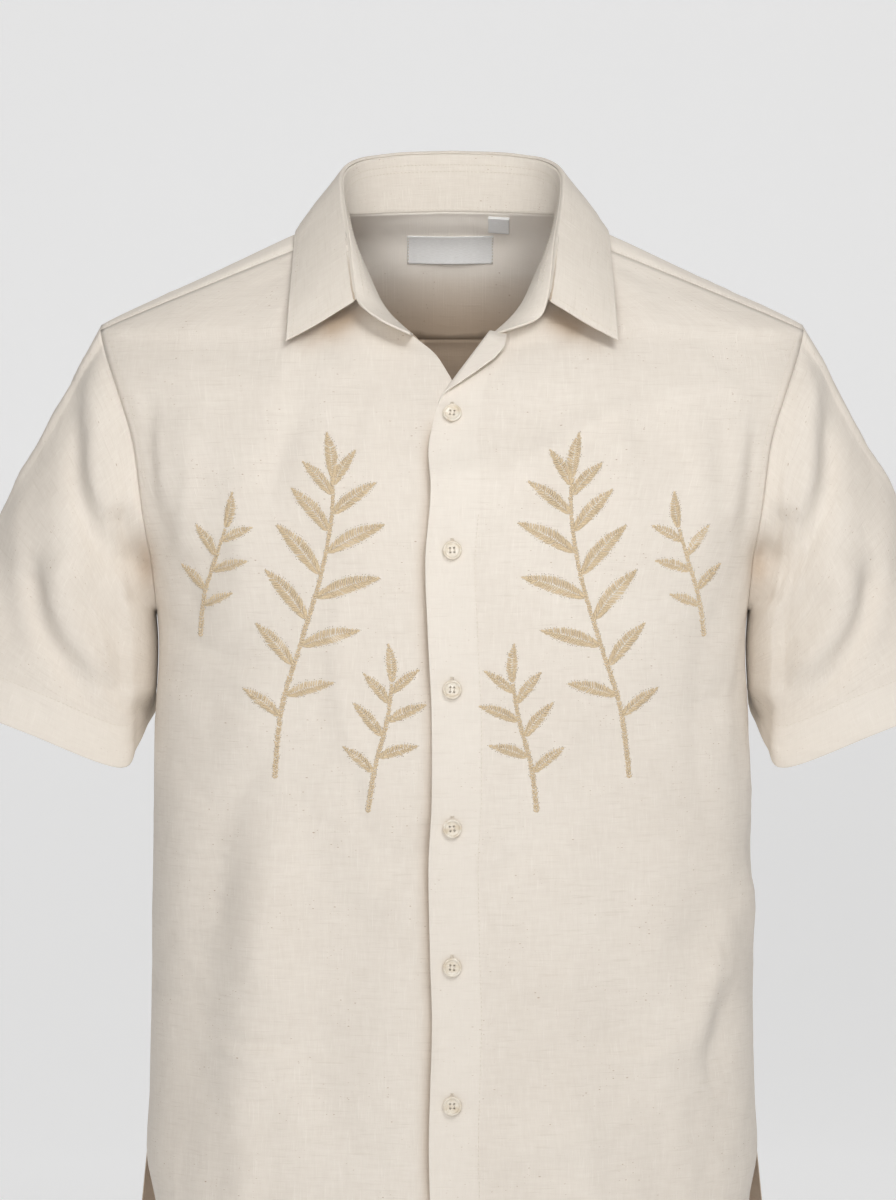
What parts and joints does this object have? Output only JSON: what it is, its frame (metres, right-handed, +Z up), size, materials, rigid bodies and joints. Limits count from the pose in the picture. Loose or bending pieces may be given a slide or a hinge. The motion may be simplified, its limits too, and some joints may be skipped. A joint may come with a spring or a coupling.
{
  "type": "short sleeved shirt",
  "caption": "Short sleeved button front linen shirt with a soft collar, box pleat and side vents, filled out as if worn and open inside.",
  "frame": {"origin": "centre of the back neck seam on the middle of the cloth, where the wearer's nape or a hanger holds it", "axes": "+X to the wearer's left, +Z up along the centre back, the buttoned front faces -Y"},
  "size_m": [0.7498, 0.265, 0.7897],
  "materials": {
    "linen": "matt",
    "button": "satin",
    "trim": "matt"
  },
  "bodies": {
    "root": {"front_left": "linen", "front_right": "linen", "back": "linen", "yoke": "linen", "sleeve_left": "linen", "sleeve_right": "linen", "collar_stand": "linen", "collar_leaf": "linen", "button_1": "button", "button_2": "button", "button_3": "button", "button_4": "button", "button_5": "button", "button_6": "button", "neck_label": "trim", "size_tab": "trim"}
  },
  "joints": []
}
